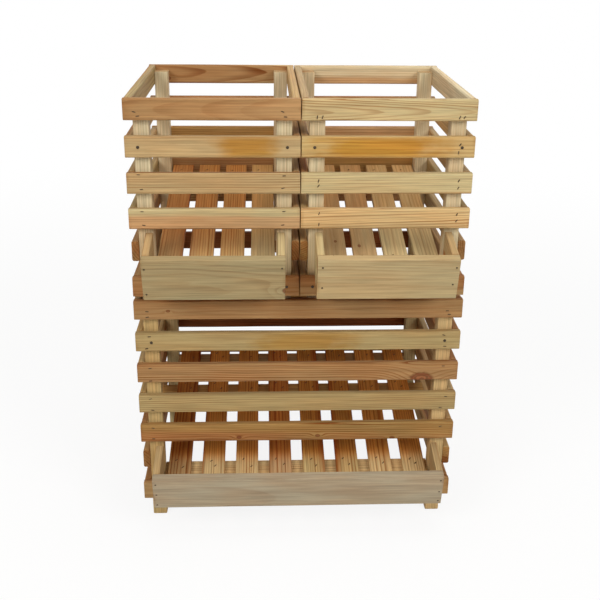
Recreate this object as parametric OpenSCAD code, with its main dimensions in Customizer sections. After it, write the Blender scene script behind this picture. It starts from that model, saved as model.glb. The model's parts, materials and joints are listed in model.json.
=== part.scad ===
// Potato storage bin: a stack of three slatted wooden crates.
// Two narrow crates stand side by side on a wide one. In each crate the floor
// slopes down to the front and runs out into a tray, where the roots are taken.
// The origin is on the ground, under the middle of the stack. +Z is up and the
// trays point to -Y.

/* [Stack] */
// Width of the wide crate
wide_w = 600; // [440:10:900]
// Depth of the wide crate, without its tray
wide_d = 400; // [340:10:560]
// Rows of slats on the wide crate
wide_rows = 7; // [5:1:7]
// Rows of slats on each narrow crate
narrow_rows = 6; // [5:1:6]
// Gap between the two narrow crates
side_gap = 1.6; // [0.4:0.2:8]
// Seam between the wide crate's rim and the slats above it
seam = 7; // [3:1:20]
// Play between the narrow crates' feet and the rim round them, each way
stack_play = 0.7; // [0.4:0.1:3]

/* [Slats] */
// Height of a wall slat
slat_h = 38; // [32:1:44]
// Thickness of a wall slat
slat_t = 14; // [10:1:18]
// Gap between two wall slats
slat_gap = 26; // [22:1:32]
// Rounding along the edges of a wall slat
slat_round = 3.5; // [1:0.5:5]
// Rounding along the edges of every other board
edge = 1; // [0.4:0.1:2]

/* [Posts] */
// Width and depth of a corner post
post_w = 27; // [22:1:34]
// Distance from the rim down to the post tops
post_drop = 10; // [5:1:20]
// Length of the wide crate's feet below its slats
foot_h = 45; // [20:1:90]
// Bevel round the end of a foot
foot_bevel = 2; // [1:0.5:4]

/* [Floor] */
// Slope of the floor, in degrees
slope = 13.3; // [10:0.1:15]
// Width of a floor slat
floor_w = 44.5; // [36:0.5:50]
// Thickness of a floor slat
floor_t = 10; // [7:0.5:12]
// Least gap between the wide crate's floor slats
wide_floor_gap = 20; // [8:1:28]
// Least gap between a narrow crate's floor slats
narrow_floor_gap = 10; // [6:1:20]
// Space between the wide crate's floor and its posts
wide_floor_clear = 6; // [1:0.5:12]
// Space between a narrow crate's floor and its posts
narrow_floor_clear = 1.8; // [1:0.1:6]
// Space between the upper end of the floor and the back slats
floor_end_clear = 0.5; // [0.3:0.1:4]

/* [Rails] */
// Width of the cross rails under the floor
rail_w = 44; // [30:1:50]
// Thickness of the cross rails
rail_t = 9.5; // [8:0.5:12]
// Space between the front rail and the bottom front slat that it lies on
front_rail_clear = 0.3; // [0.2:0.1:2]
// Distance from the front face back to the front rail
front_rail_set = 0.8; // [0:0.1:6]
// Space between the rear rail and the back slats
rear_rail_clear = 18; // [5:0.5:24]
// Gap between the middle rail and the rear rail of the wide crate
mid_rail_gap = 61; // [40:1:80]

/* [Tray] */
// Run of the floor past the front face, along the slope
tray_l = 46.9; // [30:0.1:70]
// Thickness of the lip board
lip_t = 18; // [12:1:22]
// Height of the wide crate's lip board over the floor
wide_lip_top = 50; // [40:1:58]
// Height of a narrow crate's lip board over the floor
narrow_lip_top = 56; // [40:1:60]
// Depth of the wide crate's lip board below the floor
wide_lip_drop = 23; // [20:1:30]
// Depth of a narrow crate's lip board below the floor
narrow_lip_drop = 25; // [20:1:30]
// Thickness of the cheek boards
cheek_t = 13; // [9:0.5:16]
// Distance from the posts' inner faces out to the cheeks' inner faces
cheek_set = 1.5; // [0:0.5:4]

/* [Screws] */
// Diameter of a screw's shank
screw_d = 3; // [2:0.1:4]
// Diameter of a screw's head
screw_head_d = 5.4; // [4.6:0.2:8]
// Height of a screw's head
screw_head_h = 1.3; // [0.8:0.1:2]
// Length of a screw in the post
screw_bite = 20; // [12:1:21]
// Length of a screw's point
screw_point = 4; // [2:0.5:6]
// Play round a screw's shank
screw_play = 0.1; // [0.05:0.05:0.3]
// Distance of the wide crate's screws from its posts' outer faces
wide_screw_set = 15; // [8:0.5:18]
// Distance of a narrow crate's screws from its posts' outer faces
narrow_screw_set = 8.5; // [6:0.5:14]

/* [Hidden] */
$fn = 24;

CRATES = ["wide", "left", "right"];

// The lowest row is 0. The row above it is left open at the front.
mouth_row = 1;
slat_pitch = slat_h + slat_gap;
// The front rail lies on the rounded upper edge of the bottom slat, and the floor lies on the rail
rail_over_slat = (slat_round + front_rail_clear) / cos(slope) - slat_round * (1 + tan(slope));
floor_over_slat = rail_over_slat + (rail_t + floor_t) / cos(slope);
floor_z = slat_h + floor_over_slat;
narrow_d = wide_d - 2 * stack_play;
narrow_w = (wide_w - side_gap) / 2 - stack_play;
narrow_x = (narrow_w + side_gap) / 2;
narrow_foot_h = seam + post_drop;
narrow_z = foot_h + wall_h(wide_rows) + seam;
front_reach = max(
    reach(wide_d, wide_lip_top),
    reach(narrow_d, narrow_lip_top)
);
back_reach = wide_d / 2 + screw_head_h;
stack_y = (front_reach - back_reach) / 2;

// Wood as it comes: pale and tan sapwood, and redder heartwood
pale = [0.87, 0.78, 0.58];
tan_wood = [0.82, 0.68, 0.46];
gold = [0.80, 0.62, 0.36];
red_wood = [0.73, 0.50, 0.31];
steel = [0.20, 0.19, 0.18];

function wall_h(rows) = (rows - 1) * slat_pitch + slat_h;
function row_z(row) = row * slat_pitch;
function front_rows(rows) = [for (row = [0 : rows - 1]) if (row != mouth_row) row];

// How far a crate and its tray reach forward of the middle of its box
function reach(depth, lip_top) =
    depth / 2 + (tray_l + lip_t - edge) * cos(slope) + (lip_top - edge) * sin(slope)
    + edge;

// Run along the slope, from the front face to the depth y, at the height up
// over the floor
function run_to(y, up) = (y + up * sin(slope)) / cos(slope);

// Distance from the middle of the crate to its posts' inner faces
function post_in() = $w / 2 - slat_t - post_w;
function cheek_out() = post_in() + cheek_set + cheek_t;
function rear_rail_run() = run_to($d - slat_t - rear_rail_clear, -floor_t) - rail_w;
function screw_rows() = [0, $rows - 2];
function screw_x() = $w / 2 - slat_t - $screw_set;

function part_names(rows) = concat(
    ["front_left_post", "front_right_post", "back_left_post", "back_right_post"],
    [for (row = front_rows(rows)) slat_name(row)],
    ["back_slats", "left_side_slats", "right_side_slats", "floor_slats"],
    ["front_rail", "rear_rail", "left_cheek", "right_cheek", "lip_board", "screws"]
);
function slat_name(row) = str("front_slat_", row + 1);

// A crate's frame has its origin at the middle of its box, level with the
// lower edge of the bottom slats.
module in_crate(crate) {
    wide = crate == "wide";
    side = crate == "left" ? -1 : 1;
    $w = wide ? wide_w : narrow_w;
    $d = wide ? wide_d : narrow_d;
    $rows = wide ? wide_rows : narrow_rows;
    $foot = wide ? foot_h : narrow_foot_h;
    $floor_gap = wide ? wide_floor_gap : narrow_floor_gap;
    $floor_clear = wide ? wide_floor_clear : narrow_floor_clear;
    $lip_top = wide ? wide_lip_top : narrow_lip_top;
    $lip_drop = wide ? wide_lip_drop : narrow_lip_drop;
    $screw_set = wide ? wide_screw_set : narrow_screw_set;
    translate([wide ? 0 : side * narrow_x, stack_y, wide ? foot_h : narrow_z])
        children();
}

// The floor's frame: y runs up the slope from the crate's front face, and z
// stands square to the floor's upper surface.
module on_floor() {
    translate([0, -$d / 2, floor_z])
        rotate([slope, 0, 0])
            children();
}

// Section of a board, with its corners rounded
module section(a, b, round) {
    translate([round, 0])
        square([a - 2 * round, b]);
    translate([0, round])
        square([a, b - 2 * round]);
    for (x = [round, a - round], y = [round, b - round])
        translate([x, y])
            circle(round);
}

// Boards with their grain along x and along y, from their lowest corner
module board_x(length, y, z, round = edge) {
    rotate([90, 0, 90])
        linear_extrude(length)
            section(y, z, round);
}

module board_y(x, length, z, round = edge) {
    translate([0, length, 0])
        rotate([90, 0, 0])
            linear_extrude(length)
                section(x, z, round);
}

// A screw along +Y with the seat of its head at the origin
module screw() {
    length = slat_t + screw_bite;
    rotate([-90, 0, 0])
        rotate_extrude()
            polygon([
                [0, -screw_head_h], [screw_head_d / 3, -screw_head_h],
                [screw_head_d / 2, -screw_head_h / 3], [screw_head_d / 2, 0],
                [screw_d / 2, 0], [screw_d / 2, length - screw_point], [0, length]
            ]);
}

// Places what it holds at every screw, from the front and from the back
module at_screws(sides, ends) {
    for (end = ends, side = sides, row = screw_rows())
        translate([side * screw_x(), end * $d / 2, row_z(row) + slat_h / 2])
            rotate([0, 0, end < 0 ? 0 : 180])
                children();
}

module screw_holes(sides, ends) {
    at_screws(sides, ends)
        translate([0, -screw_head_h, 0])
            rotate([-90, 0, 0])
                cylinder(
                    d = screw_d + 2 * screw_play,
                    h = screw_head_h + slat_t + screw_bite + screw_play
                );
}

// A corner post, bevelled round its foot and drilled for its screws
module corner_post(side, end) {
    height = $foot + wall_h($rows) - post_drop;
    color(tan_wood)
        difference() {
            translate([
                side * (post_in() + post_w / 2),
                end * ($d / 2 - slat_t - post_w / 2),
                -$foot
            ])
                intersection() {
                    linear_extrude(height)
                        translate([-post_w / 2, -post_w / 2])
                            section(post_w, post_w, edge);
                    foot_wedge(height);
                    rotate([0, 0, 90])
                        foot_wedge(height);
                }
            screw_holes([side], [end]);
        }
}

// A block as wide as a post, with its two lower edges bevelled
module foot_wedge(height) {
    half = post_w / 2;
    rotate([90, 0, 0])
        linear_extrude(post_w, center = true)
            polygon([
                [-half, foot_bevel], [foot_bevel - half, 0], [half - foot_bevel, 0],
                [half, foot_bevel], [half, height], [-half, height]
            ]);
}

module front_slat(row) {
    tones = [red_wood, tan_wood, pale, tan_wood, gold, pale, red_wood];
    color(tones[row])
        difference() {
            translate([-$w / 2, -$d / 2, row_z(row)])
                board_x($w, slat_t, slat_h, slat_round);
            screw_holes([-1, 1], [-1]);
        }
}

module back_slats() {
    color(gold)
        difference() {
            for (row = [0 : $rows - 1])
                translate([-$w / 2, $d / 2 - slat_t, row_z(row)])
                    board_x($w, slat_t, slat_h, slat_round);
            screw_holes([-1, 1], [1]);
        }
}

// Slats of one side wall, between the front and the back slats
module side_slats(side) {
    color(tan_wood)
        for (row = [0 : $rows - 1])
            translate([
                side * ($w - slat_t) / 2 - slat_t / 2,
                slat_t - $d / 2,
                row_z(row)
            ])
                board_y(slat_t, $d - 2 * slat_t, slat_h, slat_round);
}

// Slats up the slope, spread evenly between the posts
module floor_slats() {
    clear_w = 2 * (post_in() - $floor_clear);
    count = floor((clear_w + $floor_gap) / (floor_w + $floor_gap));
    pitch = (clear_w - floor_w) / max(1, count - 1);
    upper_end = run_to($d - slat_t - floor_end_clear, -floor_t);
    color(red_wood)
        on_floor()
            for (i = [0 : count - 1])
                translate([i * pitch - clear_w / 2, -tray_l, -floor_t])
                    board_y(floor_w, upper_end + tray_l, floor_t);
}

// A cross rail under the floor, from the run given
module floor_rail(run, half_length) {
    color(gold)
        on_floor()
            translate([-half_length, run, -floor_t - rail_t])
                board_x(2 * half_length, rail_w, rail_t);
}

module front_rail() {
    floor_rail(run_to(front_rail_set, -floor_t), post_in());
}

module rear_rail() {
    floor_rail(rear_rail_run(), post_in());
}

module middle_rail() {
    floor_rail(rear_rail_run() - mid_rail_gap - rail_w, $w / 2 - slat_t);
}

// A side board of the tray. Its lower edge rests on the bottom front slat and
// its back end meets the post.
module cheek(side) {
    low = -floor_over_slat * cos(slope);
    color(pale)
        on_floor()
            translate([side * (cheek_out() - cheek_t / 2) - cheek_t / 2, 0, 0])
                rotate([90, 0, 90])
                    linear_extrude(cheek_t)
                        polygon([
                            [-tray_l, low], [run_to(slat_t, low), low],
                            [run_to(slat_t, $lip_top), $lip_top], [-tray_l, $lip_top]
                        ]);
}

// The front board of the tray, across the ends of the cheeks and the floor
module lip_board() {
    color(pale)
        on_floor()
            translate([-cheek_out(), -tray_l - lip_t, -$lip_drop])
                board_x(2 * cheek_out(), lip_t, $lip_top + $lip_drop);
}

module screws() {
    color(steel)
        at_screws([-1, 1], [-1, 1])
            screw();
}

// Blocks behind the wide crate's top slats, level with its post tops, that
// carry the inner feet of the narrow crates
module centre_ledges() {
    half_length = narrow_x - narrow_w / 2 + slat_t + post_w;
    height = slat_h - post_drop;
    color(gold)
        for (end = [-1, 1])
            translate([
                -half_length,
                end * ($d / 2 - slat_t - post_w / 2) - post_w / 2,
                row_z($rows - 1)
            ])
                board_x(2 * half_length, post_w, height);
}

for (crate = CRATES) in_crate(crate) {
    corner_post(-1, -1);
    corner_post(1, -1);
    corner_post(-1, 1);
    corner_post(1, 1);
    for (row = front_rows($rows))
        front_slat(row);
    back_slats();
    side_slats(-1);
    side_slats(1);
    floor_slats();
    front_rail();
    rear_rail();
    cheek(-1);
    cheek(1);
    lip_board();
    screws();
}
in_crate("wide") middle_rail();  // wide_middle_rail
in_crate("wide") centre_ledges();  // wide_centre_ledges
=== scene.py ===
import json
import math
import random
import zlib

import bmesh
import bpy
import numpy as np
from mathutils import Matrix, Vector, noise

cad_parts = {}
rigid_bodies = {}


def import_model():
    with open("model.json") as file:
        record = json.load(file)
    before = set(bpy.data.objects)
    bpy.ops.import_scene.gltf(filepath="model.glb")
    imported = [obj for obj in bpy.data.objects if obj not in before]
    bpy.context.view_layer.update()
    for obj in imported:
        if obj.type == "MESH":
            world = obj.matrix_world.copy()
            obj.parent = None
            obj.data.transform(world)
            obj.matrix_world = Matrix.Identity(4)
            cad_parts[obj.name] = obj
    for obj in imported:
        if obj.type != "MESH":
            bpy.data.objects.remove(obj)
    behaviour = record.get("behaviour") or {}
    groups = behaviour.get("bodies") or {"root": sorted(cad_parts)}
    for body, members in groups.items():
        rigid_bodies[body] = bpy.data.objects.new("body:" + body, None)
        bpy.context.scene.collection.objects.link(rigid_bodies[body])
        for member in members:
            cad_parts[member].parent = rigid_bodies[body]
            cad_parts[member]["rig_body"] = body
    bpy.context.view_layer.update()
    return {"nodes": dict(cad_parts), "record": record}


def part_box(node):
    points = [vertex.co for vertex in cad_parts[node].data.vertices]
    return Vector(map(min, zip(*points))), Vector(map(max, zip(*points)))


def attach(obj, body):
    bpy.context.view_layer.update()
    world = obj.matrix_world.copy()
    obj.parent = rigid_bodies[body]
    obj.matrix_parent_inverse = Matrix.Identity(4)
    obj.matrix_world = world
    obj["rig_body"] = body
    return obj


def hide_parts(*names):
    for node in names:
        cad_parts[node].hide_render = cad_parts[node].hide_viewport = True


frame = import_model()

MM = 0.001
X, Y, Z = 0, 1, 2
CRATES = ("wide", "left", "right")
SLOPE = math.radians(13.3)
LEVEL = Matrix.Identity(3)
SLOPED = Matrix.Rotation(SLOPE, 3, "X")

# The camera's place in metres, its turn to the right, down and about its own axis
# in degrees, and its lens. The photograph's uprights are parallel. A lens shift
# as large as they need would spoil the other views, so it is small.
CAMERA_PLACE = (-0.0659, -1.6611, 1.1006)
CAMERA_YAW = 2.53
CAMERA_PITCH = 20.59
CAMERA_ROLL = 0.65
CAMERA_LENS = 53.8
CAMERA_SHIFT = -0.06
SENSOR_WIDTH = 36


def make_camera():
    data = bpy.data.cameras.new("camera")
    data.lens = CAMERA_LENS
    data.sensor_width = SENSOR_WIDTH
    data.shift_y = CAMERA_SHIFT
    camera = bpy.data.objects.new("camera", data)
    camera.location = CAMERA_PLACE
    turn = Matrix.Rotation(math.radians(-CAMERA_YAW), 4, "Z")
    tilt = Matrix.Rotation(math.radians(90 - CAMERA_PITCH), 4, "X")
    roll = Matrix.Rotation(math.radians(CAMERA_ROLL), 4, "Z")
    camera.rotation_euler = (turn @ tilt @ roll).to_euler()
    bpy.context.scene.collection.objects.link(camera)
    bpy.context.scene.camera = camera


# Meshes

# Points of a mesh that are nearer than this are one
MERGE = 1e-7
SMOOTH_ANGLE = math.radians(32)


def loft(bm, rings):
    """Skins a closed solid over rings with the same number of points."""
    loops = [[bm.verts.new(point) for point in ring] for ring in rings]
    for first, second in zip(loops, loops[1:]):
        for k in range(len(first)):
            following = (k + 1) % len(first)
            bm.faces.new((first[k], first[following], second[following], second[k]))
    bm.faces.new(list(reversed(loops[0])))
    bm.faces.new(loops[-1])


def finish_mesh(bm, name, matrix):
    bm.transform(matrix)
    bmesh.ops.remove_doubles(bm, verts=bm.verts, dist=MERGE)
    bmesh.ops.recalc_face_normals(bm, faces=bm.faces)
    mesh = bpy.data.meshes.new(name)
    bm.to_mesh(mesh)
    bm.free()
    return mesh


def new_object(name, mesh, material=None):
    if material is not None:
        mesh.materials.clear()
        mesh.materials.append(material)
    piece = bpy.data.objects.new(name, mesh)
    bpy.context.scene.collection.objects.link(piece)
    return piece


def join_objects(name, meshes, material):
    """One object of several meshes that hold the same attributes."""
    parts = [new_object(f"{name}_part", mesh, material) for mesh in meshes]
    bpy.ops.object.select_all(action="DESELECT")
    for part in parts:
        part.select_set(True)
    bpy.context.view_layer.objects.active = parts[0]
    if len(parts) > 1:
        bpy.ops.object.join()
    parts[0].name = name
    parts[0].data.name = name
    return parts[0]


def cut_all(pairs):
    """Cuts each mesh by the other of its pair, and gives the meshes left."""
    objects = []
    for mesh, cutter in pairs:
        body = new_object("cut_body", mesh)
        tool = new_object("cut_tool", cutter)
        cut = body.modifiers.new("cut", "BOOLEAN")
        cut.operation = "DIFFERENCE"
        cut.solver = "EXACT"
        cut.object = tool
        objects.append((body, tool))
    graph = bpy.context.evaluated_depsgraph_get()
    meshes = [bpy.data.meshes.new_from_object(body.evaluated_get(graph))
              for body, tool in objects]
    for body, tool in objects:
        for used in (body, tool):
            data = used.data
            bpy.data.objects.remove(used)
            bpy.data.meshes.remove(data)
    return meshes


def smooth(piece):
    """Smooth shading that leaves flat faces flat and sharp edges sharp."""
    piece.data.shade_smooth()
    piece.data.set_sharp_from_angle(angle=SMOOTH_ANGLE)
    even = piece.modifiers.new("even_normals", "WEIGHTED_NORMAL")
    even.keep_sharp = True
    graph = bpy.context.evaluated_depsgraph_get()
    mesh = bpy.data.meshes.new_from_object(piece.evaluated_get(graph))
    old = piece.data
    piece.modifiers.clear()
    piece.data = mesh
    name = old.name
    bpy.data.meshes.remove(old)
    mesh.name = name


ARC_STEPS = 5


def stadium(length, width):
    """Outline of a slot with round ends. A length of 0 gives a circle."""
    radius = width / 2
    reach = max(0, length / 2 - radius)
    points = []
    for side in (1, -1):
        for step in range(ARC_STEPS + 1):
            a = math.radians(-90 + 180 * step / ARC_STEPS)
            x = reach + radius * math.cos(a)
            points.append((side * x, side * radius * math.sin(a)))
    return points


# Boards


class Kind:
    """How the boards of a node lie: the frame that they are square to, and its
    axes along their grain and across their width. The rounding of their long
    edges and the waver of their sides are in millimetres."""

    def __init__(self, lie, grain, width, rounding, waver):
        self.lie = lie
        self.grain = grain
        self.width = width
        self.rounding = rounding
        self.waver = waver


SLAT_ROUND = 3.5
BOARD_ROUND = 1.4
KINDS = {
    "_post": Kind(LEVEL, Z, X, BOARD_ROUND, 0.2),
    "front_slat_": Kind(LEVEL, X, Z, SLAT_ROUND, 0.8),
    "back_slats": Kind(LEVEL, X, Z, SLAT_ROUND, 0.8),
    "side_slats": Kind(LEVEL, Y, Z, SLAT_ROUND, 0.8),
    "floor_slats": Kind(SLOPED, Y, X, BOARD_ROUND, 0.5),
    "_rail": Kind(SLOPED, X, Y, BOARD_ROUND, 0.2),
    "_cheek": Kind(SLOPED, Y, Z, BOARD_ROUND, 0.2),
    "lip_board": Kind(SLOPED, X, Z, BOARD_ROUND, 0.3),
    "centre_ledges": Kind(LEVEL, X, Y, BOARD_ROUND, 0.2),
}
# A board's rounded end, with the turns of its rings, and a foot's bevel
END_ROUND = 0.8
END_TURNS = (0, 40, 90)
FOOT_BEVEL = 2
# Distance between a board's sections, in metres
STATION_GAP = 0.03
# Steps of an edge's arc, on boards rounded by more than FINE_FROM and on others
FINE_FROM = 2
FINE_STEPS, PLAIN_STEPS = 4, 2
LEAST_ROUND = 0.25
ROUND_DRIFT = 0.3
# Share of the waver in a board's two edges and two faces
WAVER_SHARES = (1, 1, 0.3, 0.3)
# The slow noise along a board: its waves a metre in the rounding and the waver,
# how far apart its lines lie in it, and the first line of the waver
ROUND_PACE, WAVER_PACE = 14, 7
LINE_APART = 7.3
WAVER_LINE = 10
SEEDS = 10007
CAD_MERGE = 1e-6
SORT_DIGITS = 4


def kind_of(node):
    for part, kind in KINDS.items():
        if part in node:
            return kind
    return None


def solids(node, lie):
    """The box of each separate solid of a CAD node, in the frame it lies in."""
    bm = bmesh.new()
    bm.from_mesh(frame["nodes"][node].data)
    bmesh.ops.remove_doubles(bm, verts=bm.verts, dist=CAD_MERGE)
    to_lie = lie.transposed()
    boxes = []
    left = set(bm.verts)
    while left:
        group = []
        stack = [left.pop()]
        while stack:
            vert = stack.pop()
            group.append(to_lie @ vert.co)
            for edge in vert.link_edges:
                other = edge.other_vert(vert)
                if other in left:
                    left.remove(other)
                    stack.append(other)
        points = np.array(group)
        boxes.append((points.min(0), points.max(0)))
    bm.free()

    def place(box):
        return tuple(np.round(box[0] + box[1], SORT_DIGITS)[[X, Z, Y]])

    return sorted(boxes, key=place)


def section(low, high, rounds, steps):
    """Points round a board's section, with each corner's own rounding."""
    points = []
    for k, (sv, sw) in enumerate(((1, -1), (1, 1), (-1, 1), (-1, -1))):
        v = high[0] if sv > 0 else low[0]
        w = high[1] if sw > 0 else low[1]
        r = rounds[k]
        for step in range(steps + 1):
            a = math.radians(90 * (k - 1) + 90 * step / steps)
            points.append((v - sv * r + r * math.cos(a), w - sw * r + r * math.sin(a)))
    return points


def end_stations(size, bevelled):
    """How far in from an end its rings lie, and how far their section is drawn in."""
    if bevelled:
        return [(0, size), (size, 0)]
    turns = [math.radians(turn) for turn in END_TURNS]
    return [(size * (1 - math.cos(a)), size * (1 - math.sin(a))) for a in turns]


class Board:
    """One board in its own frame: u along the grain, v across, w through."""

    def __init__(self, node, index, box, kind):
        self.node = node
        self.crate = node.split("_")[0]
        self.index = index
        self.kind = kind
        self.key = f"{node}:{index}"
        self.seed = zlib.crc32(self.key.encode()) % SEEDS
        low, high = (Vector(corner) for corner in box)
        along = kind.lie.col[kind.grain]
        across = kind.lie.col[kind.width]
        self.axes = Matrix((along, across, along.cross(across))).transposed()
        self.centre = kind.lie @ ((low + high) / 2)
        thick = 3 - kind.grain - kind.width
        span = high - low
        self.half = Vector((span[kind.grain], span[kind.width], span[thick])) / 2
        self.matrix = Matrix.Translation(self.centre) @ self.axes.to_4x4()

    def drift(self, u, line, pace):
        """A slow random wave along the board, from -1 to 1."""
        return noise.noise(Vector((u * pace, line * LINE_APART, self.seed)))

    def waver_at(self, u, line):
        return 0.5 + 0.5 * self.drift(u, WAVER_LINE + line, WAVER_PACE)

    def build(self):
        hu, hv, hw = self.half
        rounding = self.kind.rounding * MM
        waver = self.kind.waver * MM
        steps = FINE_STEPS if self.kind.rounding > FINE_FROM else PLAIN_STEPS
        foot = "_post" in self.node
        near = end_stations(FOOT_BEVEL * MM if foot else END_ROUND * MM, foot)
        far = end_stations(END_ROUND * MM, False)
        stations = [(-hu + d, inset) for d, inset in near]
        inner = 2 * hu - near[-1][0] - far[-1][0]
        count = max(2, round(inner / STATION_GAP))
        stations += [(-hu + near[-1][0] + inner * k / count, 0) for k in range(1, count)]
        stations += [(hu - d, inset) for d, inset in reversed(far)]
        lean = math.tan(SLOPE) if "_cheek" in self.node else 0
        rings = []
        for u, inset in stations:
            rounds = []
            for line in range(4):
                swing = 1 + ROUND_DRIFT * self.drift(u, line, ROUND_PACE)
                rounds.append(max(LEAST_ROUND * MM, rounding * swing - inset))
            drawn = [inset + waver * share * self.waver_at(u, line)
                     for line, share in enumerate(WAVER_SHARES)]
            low = (-hv + drawn[0], -hw + drawn[2])
            high = (hv - drawn[1], hw - drawn[3])
            share = (u + hu) / (2 * hu)
            rings.append([(u + lean * (v - hv) * share, v, w)
                          for v, w in section(low, high, rounds, steps)])
        bm = bmesh.new()
        loft(bm, rings)
        return finish_mesh(bm, self.node, self.matrix)


# Staples and nails, all in millimetres. Each is given by its distance from the
# board's left end, or where that is below 0 from its right end, and by its height
# over the board's lower edge.

STAPLES = {
    "left_front_slat_6": ((19, 15), (25, 8), (-31, 16), (-26, 7)),
    "left_front_slat_4": ((21, 35), (25, 9), (-28, 33), (-30, 11)),
    "left_front_slat_3": ((24, 33), (26, 8), (-28, 33), (-30, 8)),
    "right_front_slat_6": ((26, 7), (35, 7), (-30, 7), (-22, 7)),
    "right_front_slat_5": ((-26, 24), (-28, 10)),
    "right_front_slat_4": ((30, 24), (30, 15), (-24, 24), (-24, 11)),
    "right_front_slat_3": ((32, 29), (32, 9), (-23, 27), (-23, 15)),
    "wide_front_slat_7": ((24, 17), (24, 6), (-28, 15), (-24, 8)),
    "wide_front_slat_6": ((26, 31), (20, 7), (-31, 30), (-28, 7)),
    "wide_front_slat_5": ((24, 30), (24, 4), (-28, 30)),
    "wide_front_slat_4": ((22, 30), (25, 6), (-19, 29), (-28, 5)),
    "wide_front_slat_3": ((24, 31), (24, 8), (-25, 28)),
}
NAILS = {
    "wide_lip_board": ((6, 62), (6, 35), (6, 8), (-6, 63), (-6, 33), (-6, 8)),
    "left_lip_board": ((5.5, 64), (6, 12), (-6, 65)),
    "right_lip_board": ((9, 66), (9, 24), (-6, 65), (-9, 30)),
}
RAILS = {
    "wide": ("front", "middle", "rear"),
    "left": ("front", "rear"),
    "right": ("front", "rear"),
}
# Distance of a back or side slat's staples from its end, and from its edges
BACK_SET = 27
SIDE_SET = 14
EDGE_SET = 9
# A floor slat's staples over each rail, from the rail's middle and the slat's
FLOOR_SET = ((15, -6), (0, 6))
# How far a staple strays along and across a board
STRAY_U, STRAY_V = 4, 3
# Turns of the staples from the grain, in degrees: the range on front, other and
# floor slats, and the turn of those on the right crate's front
FRONT_TURN = 18
WALL_TURN = 20
FLOOR_TURNS = (25, 50)
UPRIGHT = 70
# Length and width of a crown or head
STAPLE = (5.8, 1.4)
NAIL = (0, 3.4)
# The slot is wider than the crown, and runs from over the face to its floor
SLOT_PLAY = 0.8
SLOT_TOP = -0.5
SLOT_DEPTH = 1.1
SUNK = 0.35
# Rings of a crown: its depth, and how much narrower it is there
CROWN = ((SLOT_DEPTH + 0.1, 0), (SUNK + 0.3, 0), (SUNK + 0.1, 0.2), (SUNK, 0.7))
# The rows of slats that are screwed, not stapled, counted from 0 at the back
SCREWED = {"wide": (0, 5), "left": (0, 4), "right": (0, 4)}


class Mark:
    """A staple or nail in a board: where it is, the side that it is driven from,
    and its turn from the grain."""

    def __init__(self, size, u, v, side, turn):
        self.size = size
        self.u = u
        self.v = v
        self.side = side
        self.turn = math.radians(turn)

    def ring(self, board, grow, depth, narrow=0):
        length, width = self.size
        outline = stadium((length + grow - narrow) * MM, (width + grow - narrow) * MM)
        c, s = math.cos(self.turn), math.sin(self.turn)
        w = self.side * (board.half[2] - depth * MM)
        return [(self.u * MM + c * x - s * y, self.v * MM + s * x + c * y, w)
                for x, y in outline]


def end_pair(board, inset, side, pick):
    """Two staples over the post at each end of a slat."""
    hu, hv = board.half[0] / MM, board.half[1] / MM
    marks = []
    for end in (-1, 1):
        for v in (hv - EDGE_SET, EDGE_SET - hv):
            u = end * (hu - inset + pick.uniform(-STRAY_U, STRAY_U))
            v += pick.uniform(-STRAY_V, STRAY_V)
            turn = pick.uniform(-WALL_TURN, WALL_TURN)
            marks.append(Mark(STAPLE, u, v, side, turn))
    return marks


def front_marks(board, pick):
    """The staples or nails of a front slat or lip board."""
    nailed = board.node in NAILS
    size = NAIL if nailed else STAPLE
    upright = UPRIGHT if board.crate == "right" else 0
    hu, hv = board.half[0] / MM, board.half[1] / MM
    marks = []
    for u, v in (NAILS if nailed else STAPLES)[board.node]:
        from_middle = u - hu if u > 0 else hu + u
        turn = upright + pick.uniform(-FRONT_TURN, FRONT_TURN)
        marks.append(Mark(size, from_middle, v - hv, 1, turn))
    return marks


def floor_marks(board, pick):
    """The staples of a floor slat over the rails, driven from above."""
    marks = []
    for name in RAILS[board.crate]:
        low, high = solids(f"{board.crate}_{name}_rail", SLOPED)[0]
        rail = (low[Y] + high[Y]) / 2 - (board.kind.lie.transposed() @ board.centre)[Y]
        for u, v in FLOOR_SET:
            u = rail / MM + u + pick.uniform(-STRAY_U, STRAY_U)
            v += pick.uniform(-STRAY_V, STRAY_V)
            marks.append(Mark(STAPLE, u, v, -1, pick.uniform(*FLOOR_TURNS)))
    return marks


def marks_of(board):
    pick = random.Random(board.seed + 2)
    if board.node in STAPLES or board.node in NAILS:
        return front_marks(board, pick)
    if "back_slats" in board.node:
        screwed = board.index in SCREWED[board.crate]
        return [] if screwed else end_pair(board, BACK_SET, -1, pick)
    if "side_slats" in board.node:
        side = -1 if "_left_side" in board.node else 1
        return end_pair(board, SIDE_SET, side, pick)
    if "floor_slats" in board.node:
        return floor_marks(board, pick)
    return []


def cutter_of(board, marks):
    bm = bmesh.new()
    for mark in marks:
        loft(bm, [mark.ring(board, SLOT_PLAY, depth) for depth in (SLOT_TOP, SLOT_DEPTH)])
    return finish_mesh(bm, "slots", board.matrix)


def fastener_mesh(board, marks):
    """The crowns and heads that lie in a board's slots."""
    bm = bmesh.new()
    for mark in marks:
        loft(bm, [mark.ring(board, 0, depth, narrow) for depth, narrow in CROWN])
    return finish_mesh(bm, "crowns", board.matrix)


# Screws

SCREW_SIDES = 24
# The head from its crown to its seat: distance out from the face, and radius
HEAD = ((1.3, 1.5), (1.2, 2.05), (0.85, 2.5), (0.45, 2.7), (0, 2.7))
# Radius of the shank and of its tip, and length of the point
SHANK = 1.5
TIP = 0.15
POINT = 4
# The crossed recess: its reach, the width of its arms and its depth, how far the
# cutter stands over the crown, and how much smaller it is at its floor
CROSS = (3.0, 0.65, 0.9)
CROSS_TOP = 0.2
CROSS_TAPER = 0.45
SEED_X, SEED_Z = 1000, 7000


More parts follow.
